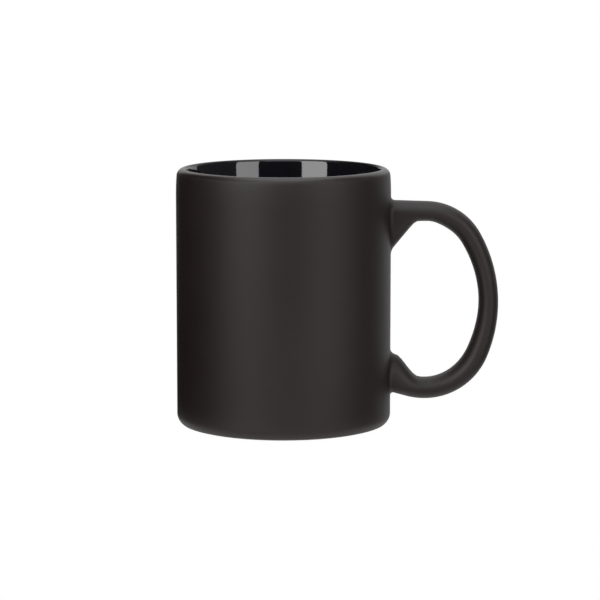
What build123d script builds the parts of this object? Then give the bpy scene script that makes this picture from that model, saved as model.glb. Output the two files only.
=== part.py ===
from build123d import *
import os
from math import copysign, cos, hypot, pi, radians, sin, tan

# A straight-sided stoneware mug with a cast handle, glazed matt outside and gloss inside.
# Lengths are in millimetres and angles in degrees. The origin is on the cup's axis, in
# the plane its foot ring stands on. +Z is up, and the handle reaches out along +X.

# Cup, over the glaze
CUP_DIAMETER = 80.0
CUP_HEIGHT = 96.0
WALL_THICKNESS = 5.0
FLOOR_HEIGHT = 8.0              # inside floor, above the table

# Cup, in the clay
FLOOR_CORNER_RADIUS = 9.0       # inside, floor to wall
HEEL_RADIUS = 4.0               # outside, wall to foot ring
FOOT_RING_WIDTH = 3.0           # bare face that stands on the table
FOOT_RECESS_DEPTH = 2.0
FOOT_RECESS_SLOPE = 1.5         # how far the recess's side leans in over its depth
FOOT_RECESS_RADIUS = 0.8        # in the recess's corner

# Lip
LIP_TAPER = 0.45                # the outside eases in by this much above the handle
LIP_FLARE = 1.4                 # the inside opens out by this much
LIP_FLARE_DEPTH = 14.0
LIP_OUTER_RADIUS = 2.2
LIP_INNER_RADIUS = 0.6

# Glaze and joining slip
GLAZE_THICKNESS = 0.3
GLAZE_LINE_HEIGHT = 0.6         # the glaze is wiped off the foot up to here
LINER_EDGE_DEPTH = 0.15         # from the top of the clay down to the gloss liner's edge
SLIP_THICKNESS = 0.4            # between the cup's wall and the handle's ends
ROOT_BEAD_RADIUS = 1.5          # hollow corner round each handle end, over the glaze

# Handle, over the glaze. Its outer edge leaves the cup nearly level, turns through an
# upper bend, a long grip and a lower bend, and climbs a little back to the cup.
HANDLE_RIM_GAP = 12.0           # rim down to the outer edge, at the cup
HANDLE_TABLE_GAP = 9.4          # table up to the outer edge's lowest point
UPPER_ARM_LENGTH = 13.8
UPPER_ARM_DROP = 1.7
UPPER_BEND_RADIUS = 23.1
UPPER_BEND_ANGLE = 58.5
GRIP_BEND_ANGLE = 52.3
LOWER_BEND_RADIUS = 25.3
LOWER_ARM_CLIMB = 15.8

# Sections across the handle: egg-shaped, with the fuller side outward. Thicknesses are
# in the handle's own plane, and each runs smoothly into the next.
HANDLE_BACK_DEPTH = 4.0         # outer edge to the widest line
UPPER_ARM_THICKNESS = 7.3
UPPER_BEND_THICKNESS = 7.9      # half way round the upper bend
GRIP_THICKNESS = 7.3            # half way down the grip
LOWER_BEND_THICKNESS = 8.2
LOWER_BEND_CREST = 0.2          # how far round the lower bend it is that thick
LOWER_ARM_THICKNESS = 7.8
GRIP_WIDTH = 12.8
UPPER_ROOT_WIDTH = 14.0
LOWER_ROOT_WIDTH = 16.0
ROOT_SPREAD = 14.0              # length over which an arm widens to its root
SECTION_FULLNESS = 2.25         # 2 is an ellipse, and more is squarer
GUSSET_REACH = 9.1              # web under the upper arm, out from the cup
GUSSET_SLOPE = 51.7
GUSSET_BLEND = 1.0
SHOULDER_REACH = 11.0           # hump above the lower arm, out from the cup
SHOULDER_CREST = 1.5            # width of its level top
SHOULDER_RISE = 6.8

# How closely the handle's sections follow each other
ARM_STATION_GAP = 1.8
BEND_STATION_TURN = 13.0
SECTION_POINTS = 20

# Worked out from the sizes above
CUP_RADIUS = CUP_DIAMETER / 2
CLAY_RADIUS = CUP_RADIUS - GLAZE_THICKNESS
CLAY_HEIGHT = CUP_HEIGHT - GLAZE_THICKNESS
CLAY_BORE_RADIUS = CUP_RADIUS - WALL_THICKNESS + GLAZE_THICKNESS
CLAY_FLOOR_HEIGHT = FLOOR_HEIGHT - GLAZE_THICKNESS
FOOT_OUTER_RADIUS = CLAY_RADIUS - HEEL_RADIUS
FOOT_INNER_RADIUS = FOOT_OUTER_RADIUS - FOOT_RING_WIDTH
FOOT_MID_RADIUS = (FOOT_OUTER_RADIUS + FOOT_INNER_RADIUS) / 2
MID_WALL_RADIUS = (CLAY_RADIUS + CLAY_BORE_RADIUS) / 2
MID_FLOOR_HEIGHT = (CLAY_FLOOR_HEIGHT + FOOT_RECESS_DEPTH) / 2
LINER_EDGE_HEIGHT = CLAY_HEIGHT - LINER_EDGE_DEPTH
HANDLE_TOP_HEIGHT = CUP_HEIGHT - HANDLE_RIM_GAP
LIP_TAPER_HEIGHT = HANDLE_RIM_GAP - 1.5 * ROOT_BEAD_RADIUS   # clear of the handle's bead


# ---- cup ----

def clay_section():
    """Half section of the fired clay cup, in the XZ plane."""
    recess_radius = FOOT_INNER_RADIUS - FOOT_RECESS_SLOPE
    taper_start = CLAY_HEIGHT - LIP_TAPER_HEIGHT
    flare_start = CLAY_HEIGHT - LIP_FLARE_DEPTH
    rim_outer = CLAY_RADIUS - LIP_TAPER
    rim_inner = CLAY_BORE_RADIUS + LIP_FLARE
    lip_width = rim_outer - rim_inner
    with BuildSketch(Plane.XZ) as sketch:
        with BuildLine():
            Polyline(
                (0, FOOT_RECESS_DEPTH),
                (recess_radius, FOOT_RECESS_DEPTH),
                (FOOT_INNER_RADIUS, 0),
                (FOOT_OUTER_RADIUS, 0),
            )
            CenterArc((FOOT_OUTER_RADIUS, HEEL_RADIUS), HEEL_RADIUS, -90, 90)
            Line((CLAY_RADIUS, HEEL_RADIUS), (CLAY_RADIUS, taper_start))
            TangentArc((CLAY_RADIUS, taper_start), (rim_outer, CLAY_HEIGHT), tangent=(0, 1))
            Line((rim_outer, CLAY_HEIGHT), (rim_inner, CLAY_HEIGHT))
            TangentArc((CLAY_BORE_RADIUS, flare_start), (rim_inner, CLAY_HEIGHT), tangent=(0, 1))
            Polyline(
                (CLAY_BORE_RADIUS, flare_start),
                (CLAY_BORE_RADIUS, CLAY_FLOOR_HEIGHT),
                (0, CLAY_FLOOR_HEIGHT),
                (0, FOOT_RECESS_DEPTH),
            )
        make_face()
        round_corner(sketch, rim_outer, CLAY_HEIGHT, min(LIP_OUTER_RADIUS, 0.7 * lip_width))
        round_corner(sketch, rim_inner, CLAY_HEIGHT, min(LIP_INNER_RADIUS, 0.28 * lip_width))
        round_corner(sketch, CLAY_BORE_RADIUS, CLAY_FLOOR_HEIGHT, FLOOR_CORNER_RADIUS)
        round_corner(sketch, recess_radius, FOOT_RECESS_DEPTH, FOOT_RECESS_RADIUS)
    return sketch.sketch


def round_corner(sketch, x, z, radius):
    """Round the corner of a section that lies nearest (x, z)."""
    fillet(sketch.vertices().sort_by_distance((x, z, 0))[0], radius)


def section_window(width, bottom, top):
    """The part of the section plane within width of the axis, between two heights."""
    return Plane.XZ * Pos(width / 2, (bottom + top) / 2) * Rectangle(width, top - bottom)


def glazed_section(section):
    """The clay section with glaze all over it."""
    grown = offset(section, amount=GLAZE_THICKNESS)
    return grown & section_window(CUP_DIAMETER, -CUP_HEIGHT, 2 * CUP_HEIGHT)


def turned(section):
    """Turn a half section about the cup's axis, with the seam away from the handle."""
    return Rot(0, 0, 180) * revolve(section, axis=Axis.Z)


# ---- handle ----

def smooth_step(x):
    """Rise from 0 to 1 with level ends, while x goes from 0 to 1."""
    x = min(max(x, 0.0), 1.0)
    return x * x * (3 - 2 * x)


def gusset_depth(reach):
    """Depth of the web under the upper arm, this far out from the cup."""
    depth = (GUSSET_REACH - reach) * tan(radians(GUSSET_SLOPE))
    return (depth + hypot(depth, GUSSET_BLEND)) / 2


def shoulder_rise(reach):
    """Height of the hump above the lower arm, this far out from the cup."""
    return SHOULDER_RISE * smooth_step((SHOULDER_REACH - reach) / (SHOULDER_REACH - SHOULDER_CREST))


def root_width(reach, width_at_cup):
    """Width of an arm, this far out from the cup."""
    return GRIP_WIDTH + (width_at_cup - GRIP_WIDTH) * smooth_step(1 - reach / ROOT_SPREAD)


def grip_bend_radius():
    """Radius that brings the handle down to its gap above the table."""
    grip_start = UPPER_ARM_DROP + UPPER_BEND_ANGLE
    grip_end = grip_start + GRIP_BEND_ANGLE
    cos_arm, cos_start, cos_end = (cos(radians(a)) for a in (UPPER_ARM_DROP, grip_start, grip_end))
    arm_drop = UPPER_ARM_LENGTH * sin(radians(UPPER_ARM_DROP))
    upper_drop = UPPER_BEND_RADIUS * (cos_arm - cos_start)
    lower_drop = LOWER_BEND_RADIUS * (cos_end + 1)
    grip_drop = HANDLE_TOP_HEIGHT - HANDLE_TABLE_GAP - arm_drop - upper_drop - lower_drop
    return grip_drop / (cos_start - cos_end)


def upper_arm_stations():
    """Upright sections from inside the cup's wall to the end of the upper arm."""
    arm_end = CUP_RADIUS + UPPER_ARM_LENGTH * cos(radians(UPPER_ARM_DROP))
    count = round((arm_end - MID_WALL_RADIUS) / ARM_STATION_GAP)
    stations = []
    for i in range(count):
        x = MID_WALL_RADIUS + (arm_end - MID_WALL_RADIUS) * i / count
        reach = x - CUP_RADIUS
        z = HANDLE_TOP_HEIGHT - reach * tan(radians(UPPER_ARM_DROP))
        thickness = UPPER_ARM_THICKNESS + gusset_depth(reach)
        stations.append((x, z, 0.0, thickness, root_width(reach, UPPER_ROOT_WIDTH)))
    return stations


def blended(knots, travel):
    """The thickness after some travel along the outer edge, eased from knot to knot."""
    for (start, before), (end, after) in zip(knots, knots[1:]):
        if travel <= end:
            return before + (after - before) * smooth_step((travel - start) / (end - start))
    return knots[-1][1]


def bend_stations():
    """Sections square to the outer edge, round the three bends to its lowest point."""
    drop = radians(UPPER_ARM_DROP)
    x = CUP_RADIUS + UPPER_ARM_LENGTH * cos(drop)
    z = HANDLE_TOP_HEIGHT - UPPER_ARM_LENGTH * sin(drop)
    heading = UPPER_ARM_DROP
    lower_turn = 180 - UPPER_ARM_DROP - UPPER_BEND_ANGLE - GRIP_BEND_ANGLE
    bends = [
        (UPPER_BEND_RADIUS, UPPER_BEND_ANGLE),
        (grip_bend_radius(), GRIP_BEND_ANGLE),
        (LOWER_BEND_RADIUS, lower_turn),
    ]
    upper, grip, lower = (radius * radians(turn) for radius, turn in bends)
    knots = [
        (0, UPPER_ARM_THICKNESS),
        (upper / 2, UPPER_BEND_THICKNESS),
        (upper + grip / 2, GRIP_THICKNESS),
        (upper + grip + lower * LOWER_BEND_CREST, LOWER_BEND_THICKNESS),
        (upper + grip + lower, LOWER_ARM_THICKNESS),
    ]
    stations = []
    travel = 0
    for radius, turn in bends:
        centre_x = x - radius * sin(radians(heading))
        centre_z = z - radius * cos(radians(heading))
        count = round(turn / BEND_STATION_TURN)
        for i in range(count):
            angle = heading + turn * i / count
            x = centre_x + radius * sin(radians(angle))
            z = centre_z + radius * cos(radians(angle))
            thickness = blended(knots, travel + radius * radians(turn) * i / count)
            stations.append((x, z, angle, thickness, GRIP_WIDTH))
        heading += turn
        travel += radius * radians(turn)
        x = centre_x + radius * sin(radians(heading))
        z = centre_z + radius * cos(radians(heading))
    stations.append((x, z, 180.0, LOWER_ARM_THICKNESS, GRIP_WIDTH))
    return stations


def lower_arm_stations(lowest_x):
    """Upright sections from the outer edge's lowest point to inside the cup's wall."""
    climb = radians(LOWER_ARM_CLIMB)
    bend_length = LOWER_BEND_RADIUS * sin(climb)
    bend_rise = LOWER_BEND_RADIUS * (1 - cos(climb))
    length = lowest_x - MID_WALL_RADIUS
    count = round(length / ARM_STATION_GAP)
    stations = []
    for i in range(1, count + 1):
        inward = length * i / count
        if inward < bend_length:
            rise = LOWER_BEND_RADIUS - (LOWER_BEND_RADIUS**2 - inward**2) ** 0.5
        else:
            rise = bend_rise + (inward - bend_length) * tan(climb)
        reach = lowest_x - inward - CUP_RADIUS
        thickness = LOWER_ARM_THICKNESS + shoulder_rise(reach)
        width = root_width(reach, LOWER_ROOT_WIDTH)
        stations.append((lowest_x - inward, HANDLE_TABLE_GAP + rise, 180.0, thickness, width))
    return stations


def egg_outline(station, inset):
    """Closed outline of the handle's section at a station, this far inside the glaze."""
    x, z, heading, thickness, width = station
    angle = radians(heading)
    outward = Vector(sin(angle), 0, cos(angle))
    sideways = Vector(0, 1, 0)
    centre = Vector(x, 0, z) - outward * HANDLE_BACK_DEPTH
    power = 2 / SECTION_FULLNESS
    points = []
    for i in range(SECTION_POINTS):
        turn = 2 * pi * i / SECTION_POINTS - pi / 2
        across = copysign(abs(cos(turn)) ** power, cos(turn))
        along = copysign(abs(sin(turn)) ** power, sin(turn))
        depth = HANDLE_BACK_DEPTH if along > 0 else thickness - HANDLE_BACK_DEPTH
        offset_out = outward * along * (depth - inset)
        points.append(centre + sideways * across * (width / 2 - inset) + offset_out)
    return Wire([Edge.make_spline(points, periodic=True)])


def handle_form(inset):
    """The whole handle, this far inside the glaze, with both ends in the cup's wall."""
    bends = bend_stations()
    stations = upper_arm_stations() + bends + lower_arm_stations(bends[-1][0])
    return Solid.make_loft([egg_outline(station, inset) for station in stations])


def rooted(cup, handle, bead_radius):
    """Cup and handle as one, with the corner where they meet rounded all the way."""
    joined = cup + handle
    return fillet(new_edges(cup, handle, combined=joined), bead_radius)


# ---- the mug's pieces ----

def make_mug():
    """Every piece of the mug, by node name."""
    section = clay_section()
    cup_body = turned(section)
    clay = rooted(cup_body, handle_form(GLAZE_THICKNESS), ROOT_BEAD_RADIUS + GLAZE_THICKNESS)

    # The slip is the layer next to the cup's wall, and the handle is the rest
    slip_layer = Cylinder(CLAY_RADIUS + SLIP_THICKNESS, 4 * CUP_HEIGHT)
    attached = clay - cup_body
    handle = attached - slip_layer
    lower_slip, upper_slip = (attached & slip_layer).solids().sort_by(Axis.Z)

    # Glaze all over, less what the foot's wiping and the three finishes divide off
    full_section = glazed_section(section)
    skin = full_section - section
    liner_window = section_window(MID_WALL_RADIUS, MID_FLOOR_HEIGHT, LINER_EDGE_HEIGHT)
    recess_window = section_window(FOOT_MID_RADIUS, GLAZE_LINE_HEIGHT, MID_FLOOR_HEIGHT)
    under_window = section_window(FOOT_MID_RADIUS, -CUP_HEIGHT, MID_FLOOR_HEIGHT)
    wiped_window = section_window(CUP_DIAMETER, -CUP_HEIGHT, GLAZE_LINE_HEIGHT)
    glazed_mug = rooted(turned(full_section), handle_form(0), ROOT_BEAD_RADIUS)
    outer_glaze = glazed_mug - turned(liner_window + under_window + wiped_window) - clay

    return {
        "cup_body": cup_body,
        "handle": handle,
        "upper_slip_joint": upper_slip,
        "lower_slip_joint": lower_slip,
        "matt_outer_glaze": outer_glaze,
        "gloss_liner_glaze": turned(skin & liner_window),
        "foot_recess_glaze": turned(skin & recess_window),
    }


os.makedirs("parts", exist_ok=True)
for name, piece in make_mug().items():
    export_step(piece, f"parts/{name}.step")
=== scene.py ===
"""A matt black ceramic mug with a gloss liner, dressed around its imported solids.

The cup stands on its bare foot ring with its axis on Z, and the handle reaches along +X.
Lengths are in metres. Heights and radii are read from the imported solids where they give
them, and the rest are the same named sizes that the solids were made from.
"""

import logging
import math
from dataclasses import dataclass, field
from enum import Enum
from typing import Any, Callable, Iterable, Union

import bmesh
import bpy
from mathutils import Matrix, Vector


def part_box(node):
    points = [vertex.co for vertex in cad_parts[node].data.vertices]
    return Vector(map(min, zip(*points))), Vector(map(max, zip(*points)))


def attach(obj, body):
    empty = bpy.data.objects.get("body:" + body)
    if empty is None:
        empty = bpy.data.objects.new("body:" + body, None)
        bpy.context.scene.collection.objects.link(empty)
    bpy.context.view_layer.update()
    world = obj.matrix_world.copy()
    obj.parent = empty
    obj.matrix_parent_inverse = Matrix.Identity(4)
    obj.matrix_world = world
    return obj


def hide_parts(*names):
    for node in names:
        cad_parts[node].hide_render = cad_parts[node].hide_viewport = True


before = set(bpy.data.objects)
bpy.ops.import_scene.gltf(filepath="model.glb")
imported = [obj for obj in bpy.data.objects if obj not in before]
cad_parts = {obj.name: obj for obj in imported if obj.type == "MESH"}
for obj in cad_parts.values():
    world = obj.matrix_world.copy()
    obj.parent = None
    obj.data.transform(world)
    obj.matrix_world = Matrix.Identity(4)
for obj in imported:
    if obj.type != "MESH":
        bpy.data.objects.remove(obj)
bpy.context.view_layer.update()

LOG = logging.getLogger("mug")
MM = 0.001
WELD = 0.001 * MM
FULL_TURN = 2 * math.pi
NOISE_MEAN = 0.5
WHITE = (1.0, 1.0, 1.0)

Colour = tuple[float, float, float]
Mesh = bmesh.types.BMesh
Vert = bmesh.types.BMVert
Edge = bmesh.types.BMEdge
Piece = bpy.types.Object
Material = bpy.types.Material
Socket = bpy.types.NodeSocket
Level = Union["Signal", float]


# ---- shader graphs


class Signal:
    """A number that varies over a surface, carried by one shader socket."""

    def __init__(self, graph: "Graph", socket: Socket) -> None:
        """Wrap a socket of a graph."""
        self.graph = graph
        self.socket = socket

    def _maths(self, operation: str, first: Level, second: Level) -> "Signal":
        """The result of a Math node on two Signals or numbers."""
        node = self.graph.node("ShaderNodeMath", {"operation": operation}, {0: first, 1: second})
        return Signal(self.graph, node.outputs[0])

    def __add__(self, other: Level) -> "Signal":
        """Sum with a Signal or a number."""
        return self._maths("ADD", self, other)

    __radd__ = __add__

    def __sub__(self, other: Level) -> "Signal":
        """Difference from a Signal or a number."""
        return self._maths("SUBTRACT", self, other)

    def __rsub__(self, other: Level) -> "Signal":
        """A number less this."""
        return self._maths("SUBTRACT", other, self)

    def __mul__(self, other: Level) -> "Signal":
        """Product with a Signal or a number."""
        return self._maths("MULTIPLY", self, other)

    __rmul__ = __mul__

    def __truediv__(self, other: Level) -> "Signal":
        """Quotient by a Signal or a number."""
        return self._maths("DIVIDE", self, other)

    def clamped(self) -> "Signal":
        """This, kept between 0 and 1."""
        return self._maths("MAXIMUM", self._maths("MINIMUM", self, 1.0), 0.0)

    def step(self, low: float, high: float) -> "Signal":
        """Rise smoothly, from 0 where this is low to 1 where it is high."""
        share = ((self - low) / (high - low)).clamped()
        return share * share * (3.0 - 2.0 * share)


class Graph:
    """The node tree of one material or world."""

    noise_roughness = 0.55
    speck_core = 0.4

    def __init__(self, tree: bpy.types.NodeTree) -> None:
        """Empty a node tree and take it over."""
        tree.nodes.clear()
        self.tree = tree

    def node(
        self,
        kind: str,
        settings: dict[str, Any] | None = None,
        inputs: dict[str | int, Any] | None = None,
    ) -> bpy.types.Node:
        """Add a node.

        Args:
            kind: The node's type name.
            settings: Its own settings, set first.
            inputs: Socket names or numbers, each with a value, a socket or a Signal.

        Returns:
            The new node.
        """
        node = self.tree.nodes.new(kind)
        for name, value in (settings or {}).items():
            setattr(node, name, value)
        for name, value in (inputs or {}).items():
            socket = node.inputs[name]
            if isinstance(value, Signal):
                value = value.socket
            if isinstance(value, Socket):
                self.tree.links.new(value, socket)
            else:
                socket.default_value = value
        return node

    def signal(self, node: bpy.types.Node, output: str) -> Signal:
        """One output of a node, as a Signal."""
        return Signal(self, node.outputs[output])

    def place(self) -> Socket:
        """The point on the object, in metres."""
        return self.node("ShaderNodeTexCoord").outputs["Object"]

    def height(self) -> Signal:
        """How high the point on the object is, in metres."""
        parts = self.node("ShaderNodeSeparateXYZ", None, {"Vector": self.place()})
        return self.signal(parts, "Z")

    def from_axis(self) -> Signal:
        """How far the point on a flat piece is from its middle, in metres."""
        length = self.node("ShaderNodeVectorMath", {"operation": "LENGTH"}, {0: self.place()})
        return self.signal(length, "Value")

    def noise(self, size: float, detail: float) -> Signal:
        """Cloudy noise between 0 and 1.

        Args:
            size: The width of one cloud, in metres.
            detail: How many finer layers it has.

        Returns:
            The noise.
        """
        texture = self.node(
            "ShaderNodeTexNoise",
            {"noise_dimensions": "3D"},
            {
                "Vector": self.place(),
                "Scale": 1.0 / size,
                "Detail": detail,
                "Roughness": self.noise_roughness,
            },
        )
        return self.signal(texture, "Fac")

    def specks(self, spacing: float, size: float) -> Signal:
        """Small round spots: 1 at the middle of each and 0 between them.

        Args:
            spacing: The distance between spots, in metres.
            size: The spots' radius, as a share of the spacing.

        Returns:
            The spots.
        """
        texture = self.node(
            "ShaderNodeTexVoronoi",
            {"feature": "F1"},
            {"Vector": self.place(), "Scale": 1.0 / spacing},
        )
        return 1.0 - self.signal(texture, "Distance").step(size * self.speck_core, size)

    def mixed(self, share: Signal, first: Colour | Socket, second: Colour) -> Socket:
        """Blend two colours.

        Args:
            share: How much of the second colour shows, from 0 to 1.
            first: A colour or a socket that carries one.
            second: A colour.

        Returns:
            The blend.
        """
        if not isinstance(first, Socket):
            first = (*first, 1.0)
        node = self.node(
            "ShaderNodeMix",
            {"data_type": "RGBA"},
            {"Factor": share, 6: first, 7: (*second, 1.0)},
        )
        return node.outputs[2]

    def bump(self, height: Signal, depth: float = 1.0) -> Socket:
        """A normal that follows a height, which is depth metres where it is 1."""
        return self.node("ShaderNodeBump", None, {"Height": height, "Distance": depth}).outputs[0]

    def glazed(self, colour: Socket, roughness: Signal, ior: float, normal: Socket) -> Socket:
        """A plain opaque surface.

        Args:
            colour: Its colour.
            roughness: How matt it is.
            ior: Its index of refraction.
            normal: Its bumped normal.

        Returns:
            The shader's output.
        """
        shader = self.node(
            "ShaderNodeBsdfPrincipled",
            None,
            {"Base Color": colour, "Roughness": roughness, "IOR": ior, "Normal": normal},
        )
        return shader.outputs[0]

    def seen(self) -> Signal:
        """Which rays look at the backdrop.

        Returns:
            1 for rays from the camera, from a gloss and through glass, and 0 for others.
        """
        path = self.node("ShaderNodeLightPath")
        seen = self.signal(path, "Is Camera Ray") + self.signal(path, "Is Glossy Ray")
        return (seen + self.signal(path, "Is Transmission Ray")).clamped()


# ---- finishes


@dataclass(frozen=True)
class Finish:
    """What every finish has: a name, and a way to make its material."""

    name: str

    def material(self) -> Material:
        """Make the material.

        Returns:
            A material with nodes.
        """
        material = bpy.data.materials.new(self.name)
        material.use_nodes = True
        graph = Graph(material.node_tree)
        shader = self.shader(graph)
        graph.node("ShaderNodeOutputMaterial", None, {"Surface": shader})
        return material

    def shader(self, graph: Graph) -> Socket:
        """Build the finish's shader and return its output."""
        raise NotImplementedError


@dataclass(frozen=True)
class MattGlaze(Finish):
    """A matt coat: fine dry grain, faint clouding and a soft sheen that is glossier on the lip."""

    dark: Colour = (0.0068, 0.0021, 0.0018)
    light: Colour = (0.0090, 0.0034, 0.0029)
    clouds: float = 22.0 * MM
    clouds_share: float = 0.7
    contrast: tuple[float, float] = (0.3, 0.7)
    roughness: float = 0.58
    lip_roughness: float = 0.38
    lip_span: tuple[float, float] = (94.2 * MM, 95.4 * MM)
    roughness_spread: float = 0.06
    grain: float = 0.28 * MM
    grain_depth: float = 0.010 * MM
    ripple: float = 9.0 * MM
    ripple_depth: float = 0.035 * MM
    ior: float = 1.5

    def shader(self, graph: Graph) -> Socket:
        """Build the matt coat's shader.

        Args:
            graph: The material's nodes.

        Returns:
            The shader's output.
        """
        clouds = graph.noise(self.clouds, detail=3.0)
        grain = graph.noise(self.grain, detail=3.0)
        ripple = graph.noise(self.ripple, detail=1.0)
        mottle = clouds * self.clouds_share + grain * (1 - self.clouds_share)
        colour = graph.mixed(mottle.step(*self.contrast), self.dark, self.light)
        lip = graph.height().step(*self.lip_span)
        roughness = self.roughness + (self.lip_roughness - self.roughness) * lip
        roughness = roughness + (clouds - NOISE_MEAN) * self.roughness_spread
        roughness = roughness + (grain - NOISE_MEAN) * self.roughness_spread
        height = grain * self.grain_depth + ripple * self.ripple_depth
        return graph.glazed(colour, roughness, self.ior, graph.bump(height))


@dataclass(frozen=True)
class GlossGlaze(Finish):
    """A gloss coat: nearly black, mirror smooth, with slow waves and a few pinholes."""

    dark: Colour = (0.0050, 0.0050, 0.0062)
    light: Colour = (0.0080, 0.0080, 0.0105)
    roughness: float = 0.035
    smear: float = 5.0 * MM
    smear_roughness: float = 0.02
    wave: float = 16.0 * MM
    wave_depth: float = 0.012 * MM
    pinhole_spacing: float = 6.0 * MM
    pinhole_size: float = 0.035
    pinhole_roughness: float = 0.2
    pinhole_depth: float = 0.01 * MM
    ior: float = 1.58

    def shader(self, graph: Graph) -> Socket:
        """Build the gloss coat's shader.

        Args:
            graph: The material's nodes.

        Returns:
            The shader's output.
        """
        wave = graph.noise(self.wave, detail=0.0)
        smear = graph.noise(self.smear, detail=2.0)
        pinholes = graph.specks(self.pinhole_spacing, self.pinhole_size)
        colour = graph.mixed(smear, self.dark, self.light)
        roughness = self.roughness + smear * self.smear_roughness
        roughness = roughness + pinholes * self.pinhole_roughness
        height = wave * self.wave_depth - pinholes * self.pinhole_depth
        return graph.glazed(colour, roughness, self.ior, graph.bump(height))


@dataclass(frozen=True)
class FiredClay(Finish):
    """Bare white stoneware: chalky, with fine iron specks and a sandy grain."""

    pale: Colour = (0.74, 0.70, 0.63)
    warm: Colour = (0.62, 0.56, 0.48)
    speck: Colour = (0.20, 0.15, 0.11)
    clouds: float = 7.0 * MM
    contrast: tuple[float, float] = (0.3, 0.7)
    speck_spacing: float = 1.6 * MM
    speck_size: float = 0.16
    speck_strength: float = 0.6
    roughness: float = 0.78
    roughness_spread: float = 0.15
    grain: float = 0.25 * MM
    grain_depth: float = 0.02 * MM
    ior: float = 1.5

    def shader(self, graph: Graph) -> Socket:
        """Build the bare clay's shader.

        Args:
            graph: The material's nodes.

        Returns:
            The shader's output.
        """
        clouds = graph.noise(self.clouds, detail=3.0).step(*self.contrast)
        grain = graph.noise(self.grain, detail=2.0)
        specks = graph.specks(self.speck_spacing, self.speck_size)
        body = graph.mixed(clouds, self.pale, self.warm)
        colour = graph.mixed(specks * self.speck_strength, body, self.speck)
        roughness = self.roughness + (grain - NOISE_MEAN) * self.roughness_spread
        return graph.glazed(colour, roughness, self.ior, graph.bump(grain, self.grain_depth))


@dataclass(frozen=True)
class PaleFloor(Finish):
    """A pale matt floor that looks nearly white and fades to white at its edge."""

    radius: float
    paint: Colour = (0.85, 0.85, 0.85)
    whiteness: float = 0.9
    fade: tuple[float, float] = (0.25, 0.9)

    def shader(self, graph: Graph) -> Socket:
        """Build the floor's shader.

        Args:
            graph: The material's nodes.

        Returns:
            The shader's output.
        """
        inner, outer = self.fade
        edge = graph.from_axis().step(inner * self.radius, outer * self.radius)
        share = graph.seen() * (self.whiteness + (1.0 - self.whiteness) * edge)
        paint = graph.node("ShaderNodeBsdfDiffuse", None, {"Color": (*self.paint, 1.0)})
        glow = graph.node("ShaderNodeEmission", None, {"Color": (*WHITE, 1.0), "Strength": 1.0})
        mix = {0: share, 1: paint.outputs[0], 2: glow.outputs[0]}
        return graph.node("ShaderNodeMixShader", None, mix).outputs[0]


@dataclass(frozen=True)
class BlackCloth(Finish):
    """Black cloth for the screens."""

    colour: Colour = (0.01, 0.01, 0.01)

    def shader(self, graph: Graph) -> Socket:
        """Build the cloth's shader and return its output."""
        return graph.node("ShaderNodeBsdfDiffuse", None, {"Color": (*self.colour, 1.0)}).outputs[0]


# ---- modelling helpers


def piece_from(bm: Mesh, name: str, finish: Finish) -> Piece:
    """Make an object of a finished bmesh.

    Args:
        bm: The mesh, in place. It is freed.
        name: The piece's name.
        finish: Its finish.

    Returns:
        The linked object.
    """
    mesh = bpy.data.meshes.new(name)
    bm.to_mesh(mesh)
    bm.free()
    mesh.materials.append(finish.material())
    mesh.shade_smooth()
    piece = bpy.data.objects.new(name, mesh)
    bpy.context.scene.collection.objects.link(piece)
    return piece


def chain(bm: Mesh, points: Iterable[tuple[float, float]]) -> list[Vert]:
    """Join points of the XZ plane by edges.

    Args:
        bm: The mesh to add to.
        points: Radius and height of each point.

    Returns:
        The new vertices, in order.
    """
    verts = [bm.verts.new((radius, 0.0, height)) for radius, height in points]
    for first, second in zip(verts, verts[1:]):
        bm.edges.new((first, second))
    return verts


def round_off(bm: Mesh, geom: list[Vert] | list[Edge], radius: float, segments: int) -> None:
    """Round right-angled corners of a chain, or edges of a surface.

    Args:
        bm: The mesh.
        geom: The corners' vertices, or the edges.
        radius: The radius of the round.
        segments: How many parts make it.
    """
    bmesh.ops.bevel(
        bm,
        geom=geom,
        offset=radius,
        offset_type="OFFSET",
        segments=segments,
        profile=0.5,
        affect="VERTICES" if isinstance(geom[0], Vert) else "EDGES",
        material=-1,
    )


def spin_round(bm: Mesh, steps: int, angle: float = FULL_TURN) -> None:
    """Turn everything in a bmesh about Z, and close the seam of a full turn.

    Args:
        bm: The mesh.
        steps: How many faces go round.
        angle: How far it turns.
    """
    bmesh.ops.spin(
        bm,
        geom=bm.verts[:] + bm.edges[:],
        cent=(0, 0, 0),
        axis=(0, 0, 1),
        dvec=(0, 0, 0),
        angle=angle,
        steps=steps,
        use_merge=angle == FULL_TURN,
        use_duplicate=False,
    )
    bmesh.ops.remove_doubles(bm, verts=bm.verts[:], dist=WELD)


def divide(bm: Mesh, low: float, high: float, parts: int) -> None:
    """Cut every edge that rises between two heights into equal parts.

    Args:
        bm: The mesh.
        low: The lower height.
        high: The upper height.
        parts: How many parts each edge becomes.
    """
    slack = 0.01 * MM
    edges = [
        edge
        for edge in bm.edges
        if all(low - slack < vert.co.z < high + slack for vert in edge.verts)
        and abs(edge.verts[0].co.z - edge.verts[1].co.z) > slack
    ]
    bmesh.ops.subdivide_edges(bm, edges=edges, cuts=parts - 1)


def divide_level(bm: Mesh, height: float, parts: int) -> None:
    """Cut every edge that lies at a height into equal parts."""
    edges = [e for e in bm.edges if all(abs(v.co.z - height) < WELD for v in e.verts)]
    bmesh.ops.subdivide_edges(bm, edges=edges, cuts=parts - 1)


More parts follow.
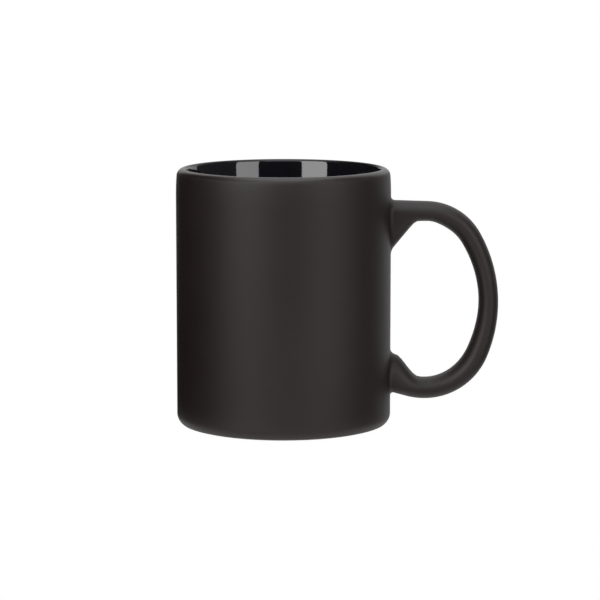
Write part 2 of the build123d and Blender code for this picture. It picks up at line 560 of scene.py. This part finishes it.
def cut_level(bm: Mesh, height: float, keep_above: bool, within: tuple[float, float]) -> None:
    """Trim a chain level, where its radius lies within a range.

    Args:
        bm: The mesh.
        height: The height of the cut.
        keep_above: Whether the part above stays.
        within: The least and greatest radius that the cut touches.
    """
    verts = [vert for vert in bm.verts if within[0] <= vert.co.x <= within[1]]
    edges = [edge for edge in bm.edges if all(vert in verts for vert in edge.verts)]
    bmesh.ops.bisect_plane(
        bm,
        geom=verts + edges,
        dist=WELD / 10,
        plane_co=(0, 0, height),
        plane_no=(0, 0, 1),
        clear_inner=keep_above,
        clear_outer=not keep_above,
    )


def aim_faces(bm: Mesh, at_axis: bool) -> None:
    """Turn all faces of an open surface the same way.

    Args:
        bm: The mesh.
        at_axis: Whether they look towards the Z axis, or away from it.
    """
    bmesh.ops.recalc_face_normals(bm, faces=bm.faces[:])
    lean = 0.0
    for face in bm.faces:
        centre = face.calc_center_median()
        lean += face.calc_area() * (face.normal.x * centre.x + face.normal.y * centre.y)
    if (lean < 0) != at_axis:
        bmesh.ops.reverse_faces(bm, faces=bm.faces[:])


def skin_from(bm: Mesh, name: str, finish: Finish, thickness: float) -> Piece:
    """Make a closed skin of an open surface, inwards from its faces.

    Args:
        bm: The surface, in place. It is freed.
        name: The piece's name.
        finish: Its finish.
        thickness: How thick the skin is.

    Returns:
        The linked object.
    """
    piece = piece_from(bm, name, finish)
    skin = piece.modifiers.new("skin", "SOLIDIFY")
    skin.thickness = thickness
    skin.offset = -1.0
    skin.use_even_offset = True
    skin.use_rim = True
    return piece


def eased(share: float) -> float:
    """Rise from 0 to 1 with level ends."""
    share = min(max(share, 0.0), 1.0)
    return share * share * (3 - 2 * share)


# ---- the mug's shape


@dataclass
class CupShape:
    """The glazed cup's outside and inside, as radii at a height."""

    radius: float
    height: float
    glaze_line: float
    wall: float = 5.0 * MM
    glaze: float = 0.3 * MM
    floor: float = 8.0 * MM
    floor_corner: float = 8.7 * MM
    heel: float = 4.3 * MM
    lip_taper: float = 0.45 * MM
    lip_taper_depth: float = 9.85 * MM
    lip_flare: float = 1.4 * MM
    lip_flare_depth: float = 14.0 * MM
    lip_outer: float = 2.5 * MM
    lip_inner: float = 0.9 * MM
    lip_inner_segments: int = 6
    liner_edge_drop: float = 0.45 * MM
    columns: int = 192

    @property
    def bore(self) -> float:
        """Radius of the straight part inside."""
        return self.radius - self.wall

    @property
    def taper_start(self) -> float:
        """Height at which the outside begins to ease in."""
        return self.height - self.glaze - self.lip_taper_depth

    @property
    def flare_start(self) -> float:
        """Height at which the inside begins to open out."""
        return self.height - self.glaze - self.lip_flare_depth

    @property
    def liner_edge(self) -> float:
        """Height of the line, just inside the lip, where the two glazes meet."""
        return self.height - self.liner_edge_drop

    def outside(self, height: float) -> float:
        """Outer radius at a height."""
        share = max(0.0, (height - self.taper_start) / self.lip_taper_depth)
        return self.radius - self.lip_taper * share * share

    def inside(self, height: float) -> float:
        """Inner radius at a height."""
        share = max(0.0, (height - self.flare_start) / self.lip_flare_depth)
        return self.bore + self.lip_flare * share * share


@dataclass(frozen=True)
class Section:
    """One cut across the handle: a point of the outer edge, the way it faces, and a size."""

    x: float
    z: float
    heading: float
    thickness: float
    width: float
    back: float
    fullness: float = 2.25

    def point(self, turn: float) -> Vector:
        """A point of the egg-shaped outline.

        Args:
            turn: The angle round the outline, from the middle of its inner side.

        Returns:
            The point in space.
        """
        power = 2 / self.fullness
        across = math.copysign(abs(math.sin(turn)) ** power, math.sin(turn))
        along = -math.copysign(abs(math.cos(turn)) ** power, math.cos(turn))
        depth = self.back if along > 0 else self.thickness - self.back
        outward = Vector((math.sin(self.heading), 0.0, math.cos(self.heading)))
        centre = Vector((self.x, 0.0, self.z)) - outward * self.back
        return centre + outward * along * depth + Vector((0.0, across * self.width / 2, 0.0))


@dataclass
class HandleLine:
    """The handle's outer edge, from the upper root round to the lower one."""

    cup: CupShape
    rim_gap: float = 12.0 * MM
    table_gap: float = 9.4 * MM
    arm_length: float = 13.8 * MM
    arm_drop: float = math.radians(1.7)
    upper_radius: float = 23.1 * MM
    upper_turn: float = math.radians(58.5)
    grip_turn: float = math.radians(52.3)
    lower_radius: float = 25.3 * MM
    lower_climb: float = math.radians(15.8)
    back: float = 4.0 * MM
    upper_arm_thickness: float = 7.3 * MM
    upper_bend_thickness: float = 7.9 * MM
    grip_thickness: float = 7.3 * MM
    lower_bend_thickness: float = 8.2 * MM
    lower_bend_crest: float = 0.2
    lower_arm_thickness: float = 7.8 * MM
    grip_width: float = 12.8 * MM
    upper_root_width: float = 14.0 * MM
    lower_root_width: float = 16.0 * MM
    root_spread: float = 14.0 * MM
    gusset_reach: float = 9.1 * MM
    gusset_slope: float = math.radians(51.7)
    gusset_blend: float = 1.0 * MM
    shoulder_reach: float = 11.0 * MM
    shoulder_crest: float = 1.5 * MM
    shoulder_rise: float = 6.8 * MM
    spacing: float = 1.5 * MM

    @property
    def top(self) -> float:
        """Height of the outer edge at the cup."""
        return self.cup.height - self.rim_gap

    @property
    def arm_end(self) -> tuple[float, float]:
        """Where the upper arm runs into the upper bend."""
        return (
            self.cup.radius + self.arm_length * math.cos(self.arm_drop),
            self.top - self.arm_length * math.sin(self.arm_drop),
        )

    @property
    def grip_radius(self) -> float:
        """Radius of the long bend, which brings the handle down to its gap.

        Returns:
            The radius.
        """
        start = self.arm_drop + self.upper_turn
        end = start + self.grip_turn
        upper_fall = self.upper_radius * (math.cos(self.arm_drop) - math.cos(start))
        lower_fall = self.lower_radius * (math.cos(end) + 1)
        fall = self.arm_end[1] - self.table_gap - upper_fall - lower_fall
        return fall / (math.cos(start) - math.cos(end))

    def _width(self, reach: float, at_cup: float) -> float:
        """Width of an arm, this far out from the cup."""
        share = eased(1 - reach / self.root_spread)
        return self.grip_width + (at_cup - self.grip_width) * share

    def upper_section(self, x: float) -> Section:
        """The upright cut across the upper arm, with the web below it.

        Args:
            x: Where the cut is.

        Returns:
            The cut.
        """
        reach = x - self.cup.radius
        web = (self.gusset_reach - reach) * math.tan(self.gusset_slope)
        thickness = self.upper_arm_thickness + (web + math.hypot(web, self.gusset_blend)) / 2
        z = self.top - reach * math.tan(self.arm_drop)
        return Section(x, z, 0.0, thickness, self._width(reach, self.upper_root_width), self.back)

    def _thickness(self, lengths: list[float], travel: float) -> float:
        """The handle's thickness round its bends.

        Args:
            lengths: How long the upper bend, the grip and the lower bend are.
            travel: How far along the outer edge, from the end of the upper arm.

        Returns:
            The thickness, eased from one stated size to the next.
        """
        upper, grip, lower = lengths
        knots = [
            (0.0, self.upper_arm_thickness),
            (upper / 2, self.upper_bend_thickness),
            (upper + grip / 2, self.grip_thickness),
            (upper + grip + lower * self.lower_bend_crest, self.lower_bend_thickness),
            (upper + grip + lower, self.lower_arm_thickness),
        ]
        for (start, before), (end, after) in zip(knots, knots[1:]):
            if travel <= end:
                return before + (after - before) * eased((travel - start) / (end - start))
        return self.lower_arm_thickness

    def bends(self) -> list[Section]:
        """Cuts square to the outer edge, round the three bends to its lowest point.

        Returns:
            The cuts in order.
        """
        (x, z), heading = self.arm_end, self.arm_drop
        lower_turn = math.pi - self.arm_drop - self.upper_turn - self.grip_turn
        runs = [
            (self.upper_radius, self.upper_turn),
            (self.grip_radius, self.grip_turn),
            (self.lower_radius, lower_turn),
        ]
        lengths = [radius * turn for radius, turn in runs]
        cuts = []
        travel = 0.0
        for radius, turn in runs:
            centre_x = x - radius * math.sin(heading)
            centre_z = z - radius * math.cos(heading)
            count = math.ceil(radius * turn / self.spacing)
            for i in range(count):
                angle = heading + turn * i / count
                x = centre_x + radius * math.sin(angle)
                z = centre_z + radius * math.cos(angle)
                size = self._thickness(lengths, travel + radius * turn * i / count)
                cuts.append(Section(x, z, angle, size, self.grip_width, self.back))
            heading += turn
            travel += radius * turn
            x = centre_x + radius * math.sin(heading)
            z = centre_z + radius * math.cos(heading)
        size = self.lower_arm_thickness
        cuts.append(Section(x, z, math.pi, size, self.grip_width, self.back))
        return cuts

    def lower_section(self, x: float, lowest_x: float) -> Section:
        """The upright cut across the lower arm, with the hump above it.

        Args:
            x: Where the cut is.
            lowest_x: Where the outer edge is lowest.

        Returns:
            The cut.
        """
        inward = lowest_x - x
        bend = self.lower_radius * math.sin(self.lower_climb)
        if inward < bend:
            rise = self.lower_radius - math.sqrt(self.lower_radius**2 - inward**2)
        else:
            rise = self.lower_radius * (1 - math.cos(self.lower_climb))
            rise += (inward - bend) * math.tan(self.lower_climb)
        reach = x - self.cup.radius
        share = (self.shoulder_reach - reach) / (self.shoulder_reach - self.shoulder_crest)
        thickness = self.lower_arm_thickness + self.shoulder_rise * eased(share)
        width = self._width(reach, self.lower_root_width)
        return Section(x, self.table_gap + rise, math.pi, thickness, width, self.back)


@dataclass(frozen=True)
class RootWindow:
    """The patch of the cup's wall that a handle root grows from."""

    low: float
    high: float
    half_columns: int = 10
    rows: int = 16

    def holds(self, place: Vector, cup: CupShape, slack: float = 0.0) -> bool:
        """Whether a point of the wall lies in the window.

        Args:
            place: The point.
            cup: The cup.
            slack: How far the window is widened on each side.

        Returns:
            True when it does.
        """
        half = self.half_columns * FULL_TURN / cup.columns * cup.radius
        across = abs(math.atan2(place.y, place.x)) * cup.radius
        return across < half + slack and self.low - slack < place.z < self.high + slack


# ---- the mug's pieces


@dataclass
class MattCoat:
    """The matt glaze: one seamless skin over the cup's outside, the lip and the handle."""

    cup: CupShape
    handle: HandleLine
    foot_overlap: float = 1.0 * MM
    lip_depth: float = 4.0 * MM
    heel_segments: int = 12
    lip_segments: int = 10
    heel_rows: int = 4
    middle_rows: int = 16
    neck_rows: int = 3
    root_bead: float = 1.5 * MM
    bead_segments: int = 6
    band_rows: int = 4
    band_slack: float = 0.2 * MM
    first_cut: float = 2.8 * MM
    rounds: int = 20
    upper_root: RootWindow = RootWindow(60.5 * MM, 88.5 * MM)
    lower_root: RootWindow = RootWindow(9.5 * MM, 33.5 * MM)
    name: str = "matt_coat"

    @property
    def windows(self) -> tuple[RootWindow, RootWindow]:
        """The two root windows, the upper one first."""
        return self.upper_root, self.lower_root

    @property
    def turns(self) -> int:
        """How many points go round the handle, the same as round each window."""
        return 4 * self.upper_root.half_columns + 2 * self.upper_root.rows

    def build(self, finish: Finish) -> Piece:
        """Build the coat.

        Args:
            finish: Its glaze.

        Returns:
            The coat, a closed skin.
        """
        bm = bmesh.new()
        self._draw_outside(bm)
        spin_round(bm, self.cup.columns)
        rims = [self._open_window(bm, window) for window in self.windows]
        rings = self._draw_handle(bm)
        for rim, ring in zip(rims, rings):
            bmesh.ops.bridge_loops(bm, edges=rim + ring)
        round_off(bm, rings[0] + rings[1], self.root_bead, self.bead_segments)
        self._follow_wall(bm)
        aim_faces(bm, at_axis=False)
        return skin_from(bm, self.name, finish, self.cup.glaze)

    def _draw_outside(self, bm: Mesh) -> None:
        """Draw the outline from the glaze line up over the lip.

        Args:
            bm: The mesh.
        """
        cup = self.cup
        upper, lower = self.windows
        lip_start = cup.height - self.lip_depth
        verts = chain(
            bm,
            [
                (cup.radius - cup.heel - self.foot_overlap, -cup.glaze),
                (cup.radius, -cup.glaze),
                (cup.radius, lower.low),
                (cup.radius, lower.high),
                (cup.radius, upper.low),
                (cup.radius, upper.high),
                (cup.outside(lip_start), lip_start),
                (cup.outside(cup.height), cup.height),
                (cup.inside(cup.height), cup.height),
                (cup.inside(lip_start), lip_start),
            ],
        )
        heel, outer_lip, inner_lip = verts[1], verts[7], verts[8]
        round_off(bm, [heel], cup.heel, self.heel_segments)
        round_off(bm, [outer_lip], cup.lip_outer, self.lip_segments)
        round_off(bm, [inner_lip], cup.lip_inner, cup.lip_inner_segments)
        cut_level(bm, cup.glaze_line, True, (0, cup.radius))
        cut_level(bm, cup.liner_edge, True, (0, cup.inside(cup.height) + cup.lip_inner))
        divide(bm, cup.heel - cup.glaze, lower.low, self.heel_rows)
        divide(bm, lower.low, lower.high, lower.rows)
        divide(bm, lower.high, upper.low, self.middle_rows)
        divide(bm, upper.low, upper.high, upper.rows)
        divide(bm, upper.high, lip_start, self.neck_rows)
        for vert in bm.verts:
            if cup.taper_start < vert.co.z < lip_start:
                vert.co.x = cup.outside(vert.co.z)

    def _open_window(self, bm: Mesh, window: RootWindow) -> list[Edge]:
        """Take a window's faces out of the wall.

        Args:
            bm: The mesh.
            window: The window.

        Returns:
            The edges round the hole.
        """
        faces = [face for face in bm.faces if window.holds(face.calc_center_median(), self.cup)]
        bmesh.ops.delete(bm, geom=faces, context="FACES")
        slack = self.band_slack / 2
        return [
            edge
            for edge in bm.edges
            if edge.is_boundary and all(window.holds(v.co, self.cup, slack) for v in edge.verts)
        ]

    def _root_point(self, cut_at: Callable[[float], Section], turn: float) -> Vector:
        """Where one lengthwise line of the handle meets the cup's wall.

        Args:
            cut_at: Gives the handle's upright cut at a given x.
            turn: The line's place round the cut.

        Returns:
            The meeting point.
        """
        x = self.cup.radius
        for _ in range(self.rounds):
            place = cut_at(x).point(turn)
            x = math.sqrt(self.cup.radius**2 - place.y**2)
        return Vector((x, place.y, place.z))

    def _draw_handle(self, bm: Mesh) -> list[list[Edge]]:
        """Draw the handle's open tube between its two roots.

        Args:
            bm: The mesh.

        Returns:
            The edges of the upper root ring and of the lower one.
        """
        line = self.handle
        bends = line.bends()
        lowest_x = bends[-1].x
        first_x = self.cup.radius + self.first_cut
        arm_x = line.arm_end[0]
        arm_steps = math.ceil((arm_x - first_x) / line.spacing)
        lower_steps = math.ceil((lowest_x - first_x) / line.spacing)
        cuts = [
            line.upper_section(first_x + (arm_x - first_x) * i / arm_steps)
            for i in range(arm_steps)
        ]
        cuts += bends
        cuts += [
            line.lower_section(lowest_x + (first_x - lowest_x) * i / lower_steps, lowest_x)
            for i in range(1, lower_steps + 1)
        ]
        place_of = bm.verts.layers.int.new("turn")
        ring = bmesh.ops.create_circle(bm, segments=self.turns, radius=line.grip_width)["verts"]
        for number, vert in enumerate(ring):
            vert[place_of] = number
            vert.co = self._root_point(line.upper_section, FULL_TURN * number / self.turns)
        upper_ring = edges = list({edge for vert in ring for edge in vert.link_edges})
        for cut in cuts:
            ring, edges = self._lengthen(bm, edges)
            for vert in ring:
                vert.co = cut.point(FULL_TURN * vert[place_of] / self.turns)
        ring, edges = self._lengthen(bm, edges)
        for vert in ring:
            turn = FULL_TURN * vert[place_of] / self.turns
            vert.co = self._root_point(lambda x: line.lower_section(x, lowest_x), turn)
        return [upper_ring, edges]

    @staticmethod
    def _lengthen(bm: Mesh, edges: list[Edge]) -> tuple[list[Vert], list[Edge]]:
        """Extrude a ring of edges.

        Args:
            bm: The mesh.
            edges: The tube's last ring.

        Returns:
            The new ring's vertices and edges.
        """
        new = bmesh.ops.extrude_edge_only(bm, edges=edges)["geom"]
        verts = {item for item in new if isinstance(item, Vert)}
        ring = [
            item
            for item in new
            if isinstance(item, Edge) and all(vert in verts for vert in item.verts)
        ]
        return list(verts), ring

    def _follow_wall(self, bm: Mesh) -> None:
        """Divide the bands between roots and windows and lay them on the wall.

        Args:
            bm: The mesh.
        """
        cup, slack = self.cup, self.band_slack
        near, touching = cup.radius + slack / 2, cup.radius + slack / 10
        for window in self.windows:
            spokes = []
            for edge in bm.edges:
                inner = [window.holds(vert.co, cup, -slack) for vert in edge.verts]
                outer = [window.holds(vert.co, cup, slack) for vert in edge.verts]
                on_wall = all(math.hypot(*vert.co.xy) < near for vert in edge.verts)
                if on_wall and any(inner) and not all(inner) and all(outer):
                    spokes.append(edge)
            bmesh.ops.subdivide_edges(bm, edges=spokes, cuts=self.band_rows - 1)
        for vert in bm.verts:
            radius = math.hypot(*vert.co.xy)
            for window in self.windows:
                if window.holds(vert.co, cup, -slack) and radius < touching:
                    vert.co.xy *= cup.outside(vert.co.z) / radius


@dataclass
class GlossLiner:
    """The gloss glaze inside: floor, round corner, wall and the inner edge of the lip."""

    cup: CupShape
    lip_depth: float = 2.0 * MM
    corner_segments: int = 16
    wall_rows: int = 24
    flare_rows: int = 16
    floor_rings: int = 8
    name: str = "gloss_liner"

    def build(self, finish: Finish) -> Piece:
        """Build the liner.

        Args:
            finish: Its glaze.

        Returns:
            The liner, a closed skin.
        """
        cup = self.cup
        lip_start = cup.height - self.lip_depth
        bm = bmesh.new()
        verts = chain(
            bm,
            [
                (0, cup.floor),
                (cup.bore, cup.floor),
                (cup.bore, cup.flare_start),
                (cup.inside(lip_start), lip_start),
                (cup.inside(cup.height), cup.height),
                (cup.inside(cup.height) + 2 * cup.lip_inner, cup.height),
            ],
        )
        floor_corner, inner_lip = verts[1], verts[4]
        round_off(bm, [inner_lip], cup.lip_inner, cup.lip_inner_segments)
        round_off(bm, [floor_corner], cup.floor_corner, self.corner_segments)
        cut_level(bm, cup.liner_edge, False, (cup.bore, cup.radius))
        divide(bm, cup.floor + cup.floor_corner, cup.flare_start, self.wall_rows)
        divide(bm, cup.flare_start, lip_start, self.flare_rows)
        divide_level(bm, cup.floor, self.floor_rings)
        for vert in bm.verts:
            if cup.flare_start < vert.co.z < lip_start:
                vert.co.x = cup.inside(vert.co.z)
        spin_round(bm, cup.columns)
        aim_faces(bm, at_axis=True)
        return skin_from(bm, self.name, finish, cup.glaze)


@dataclass
class FootRecess:
    """The gloss glaze in the hollow under the cup, inside the bare ring."""

    cup: CupShape
    ring_width: float = 3.0 * MM
    depth: float = 2.0 * MM
    slope: float = 1.5 * MM
    corner: float = 0.3 * MM
    corner_segments: int = 6
    ceiling_rings: int = 8
    name: str = "foot_recess_coat"

    def build(self, finish: Finish) -> Piece:
        """Build the recess's coat.

        Args:
            finish: Its glaze.

        Returns:
            The coat, a closed skin.
        """
        cup = self.cup
        ring_inner = cup.radius - cup.heel - self.ring_width
        side = math.hypot(self.slope, self.depth)
        foot_x = ring_inner - cup.glaze * side / self.depth
        ceiling = self.depth - cup.glaze
        lean = self.slope / self.depth
        bm = bmesh.new()
        verts = chain(
            bm,
            [
                (0, ceiling),
                (foot_x - lean * ceiling, ceiling),
                (foot_x - lean * cup.glaze_line, cup.glaze_line),
            ],
        )
        round_off(bm, [verts[1]], self.corner, self.corner_segments)
        divide_level(bm, ceiling, self.ceiling_rings)
        spin_round(bm, cup.columns)
        aim_faces(bm, at_axis=True)
        return skin_from(bm, self.name, finish, cup.glaze)


@dataclass(frozen=True)
class ClayBody:
    """The solids of fired clay and slip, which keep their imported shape."""

    clay: tuple[str, ...] = ("cup_body", "handle")
    slip: tuple[str, ...] = ("upper_slip_joint", "lower_slip_joint")

    def dress(self) -> None:
        """Give each solid its finish and report it."""
        for finish, nodes in ((FiredClay("fired_clay"), self.clay), (FiredClay("slip"), self.slip)):
            material = finish.material()
            for node in nodes:
                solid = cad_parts[node]
                solid.data.materials.clear()
                solid.data.materials.append(material)
                LOG.info("%s: dressed", solid.name)


# ---- the studio


@dataclass(frozen=True)
class SoftBox:
    """One upright soft box: where it stands, its size and how bright its face is."""

    name: str
    azimuth: float
    low: float
    high: float
    width: float
    radiance: float
    distance: float = 1.2


@dataclass
class Studio:
    """Camera, soft boxes, screens, pale floor and white surroundings."""

    target: Vector = field(default_factory=lambda: Vector((6.1301, 0.0, 46.4436)) * MM)
    distance: float = 1.0
    elevation: float = math.radians(8.15)
    lens: float = 160.44
    sensor: float = 36.0
    nearest: float = 0.01
    fill: float = 0.25
    floor_radius: float = 47.0 * MM
    floor_drop: float = 0.2 * MM
    floor_segments: int = 96
    boxes: tuple[SoftBox, ...] = (
        SoftBox("left_box", -38.9, 0.0, 1.10, 0.704, 5.2),
        SoftBox("right_box", 46.3, 0.0, 0.90, 0.632, 3.8),
        SoftBox("side_box", 93.0, -0.40, 0.90, 1.55, 0.092),
    )
    top_radiance: float = 1.55
    top_colour: Colour = (0.93, 0.97, 1.0)
    top_size: tuple[float, float] = (0.9, 1.7)
    top_lean: float = math.radians(16.0)
    top_height: float = 1.1
    card_radiance: float = 0.78
    card_colour: Colour = (1.0, 0.97, 0.97)
    card_size: tuple[float, float] = (0.20, 0.12)
    card_place: Vector = field(default_factory=lambda: Vector((0.08, -0.12, -0.002)))
    screen_radius: float = 1.6
    screen_span: tuple[float, float] = (-1.2, 2.4)
    screen_steps: int = 48
    bright_gap: tuple[float, float] = (128.5, 205.0)
    ground_end: float = 48.0
    ground_start_radius: float = 14.1 * MM
    ground_drop: float = 5.0 * MM

    def build(self) -> None:
        """Build everything that isn't the mug."""
        bpy.context.scene.view_settings.view_transform = "Standard"
        self._camera()
        self._surroundings()
        self._floor()
        for box in self.boxes:
            self._box(box)
        self._top()
        self._card()
        self._screens()

    def _camera(self) -> None:
        """Place the camera."""
        data = bpy.data.cameras.new("camera")
        data.lens = self.lens
        data.sensor_width = self.sensor
        data.clip_start = self.nearest
        camera = bpy.data.objects.new("camera", data)
        away = Vector((0.0, -math.cos(self.elevation), math.sin(self.elevation)))
        camera.location = self.target + away * self.distance
        camera.rotation_euler = (math.pi / 2 - self.elevation, 0.0, 0.0)
        bpy.context.scene.collection.objects.link(camera)
        bpy.context.scene.camera = camera

    def _surroundings(self) -> None:
        """White surroundings for the camera and gloss, and a low fill for the rest."""
        world = bpy.data.worlds.new("surroundings")
        world.use_nodes = True
        graph = Graph(world.node_tree)
        light = {"Color": (*WHITE, 1.0), "Strength": self.fill + (1.0 - self.fill) * graph.seen()}
        sky = graph.node("ShaderNodeBackground", None, light)
        graph.node("ShaderNodeOutputWorld", None, {"Surface": sky.outputs[0]})
        bpy.context.scene.world = world

    def _floor(self) -> None:
        """Lay a pale disc, just below the foot, that fades into the white surroundings."""
        bm = bmesh.new()
        bmesh.ops.create_circle(
            bm,
            cap_ends=True,
            segments=self.floor_segments,
            radius=self.floor_radius,
            matrix=Matrix.Translation((0.0, 0.0, -self.floor_drop)),
        )
        piece_from(bm, "floor", PaleFloor("pale_floor", self.floor_radius))

    @staticmethod
    def _lamp(
        name: str,
        size: tuple[float, float],
        radiance: float,
        colour: Colour,
        place: Vector,
        aim: Vector,
    ) -> None:
        """Hang one rectangular lamp.

        Args:
            name: The lamp's name.
            size: Its width and its other side.
            radiance: How bright its face is.
            colour: The tint of its light.
            place: Where its centre is.
            aim: The point that it faces.
        """
        width, depth = size
        data = bpy.data.lights.new(name, "AREA")
        data.shape = "RECTANGLE"
        data.size = width
        data.size_y = depth
        data.energy = radiance * math.pi * width * depth
        data.color = colour
        lamp = bpy.data.objects.new(name, data)
        lamp.location = place
        lamp.rotation_euler = (aim - place).to_track_quat("-Z", "Y").to_euler()
        lamp.visible_camera = False
        bpy.context.scene.collection.objects.link(lamp)

    def _box(self, box: SoftBox) -> None:
        """Stand one soft box round the set.

        Args:
            box: The soft box.
        """
        angle = math.radians(box.azimuth)
        middle = (box.low + box.high) / 2
        away = Vector((math.sin(angle), -math.cos(angle), 0.0)) * box.distance
        aim = Vector((0.0, 0.0, middle))
        size = (box.width, box.high - box.low)
        self._lamp(box.name, size, box.radiance, WHITE, away + aim, aim)

    def _top(self) -> None:
        """Hang the overhead lamp."""
        lean = self.top_lean
        place = Vector((0.0, -math.sin(lean), math.cos(lean))) * self.top_height
        self._lamp("top_box", self.top_size, self.top_radiance, self.top_colour, place, Vector())

    def _card(self) -> None:
        """Lay a pale card in front of the mug, for the light that comes up from the table."""
        place = self.card_place
        above = place + Vector((0.0, 0.0, 1.0))
        size, colour = self.card_size, self.card_colour
        self._lamp("front_card", size, self.card_radiance, colour, place, above)

    def _screens(self) -> None:
        """Stand dark screens round the set, out of the camera's sight."""
        far, (bottom, top) = self.screen_radius, self.screen_span
        near, under = self.ground_start_radius, -self.ground_drop
        end, start = self.bright_gap[0], self.bright_gap[1] - math.degrees(FULL_TURN)
        self._screen("side_screen", start, end, (far, bottom), (far, top))
        self._screen("ground_screen", start, self.ground_end, (near, under), (far, under))

    def _screen(
        self,
        name: str,
        start: float,
        end: float,
        first: tuple[float, float],
        last: tuple[float, float],
    ) -> None:
        """Stand or lay one screen, bent round the Z axis.

        Args:
            name: The screen's name.
            start: Azimuth of its first edge, in degrees round from the camera.
            end: Azimuth of its other edge.
            first: Radius and height of one border.
            last: Radius and height of the other border.
        """
        bm = bmesh.new()
        verts = chain(bm, [first, last])
        turn = math.radians(start) - math.pi / 2
        bmesh.ops.rotate(bm, verts=verts, cent=(0, 0, 0), matrix=Matrix.Rotation(turn, 3, "Z"))
        spin_round(bm, self.screen_steps, math.radians(end - start))
        screen = piece_from(bm, name, BlackCloth("black_cloth"))
        screen.visible_camera = False


# ---- putting it together


class Slot(Enum):
    """Names of material slots for the new pieces, which nothing here assigns."""

    MATT = "matt_black_glaze"
    GLOSS = "gloss_black_glaze"


def place_piece(piece: Piece, slot: Slot, *nodes: str) -> None:
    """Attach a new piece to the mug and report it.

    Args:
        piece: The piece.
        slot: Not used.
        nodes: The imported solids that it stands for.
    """
    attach(piece, "root")
    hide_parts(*nodes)
    LOG.info("%s: %d faces, for %s", piece.name, len(piece.data.polygons), ", ".join(nodes))


def main() -> None:
    """Build the mug and its studio."""
    logging.basicConfig(level=logging.INFO, format="%(name)s: %(message)s")
    coat_low, coat_high = (Vector(corner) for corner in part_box("matt_outer_glaze"))
    cup = CupShape(radius=-coat_low.x, height=coat_high.z, glaze_line=coat_low.z)
    gloss = GlossGlaze("gloss_black")
    coat = MattCoat(cup, HandleLine(cup)).build(MattGlaze("matt_black"))
    place_piece(coat, Slot.MATT, "matt_outer_glaze")
    place_piece(GlossLiner(cup).build(gloss), Slot.GLOSS, "gloss_liner_glaze")
    place_piece(FootRecess(cup).build(gloss), Slot.GLOSS, "foot_recess_glaze")
    ClayBody().dress()
    Studio().build()


if __name__ == "__main__":
    main()
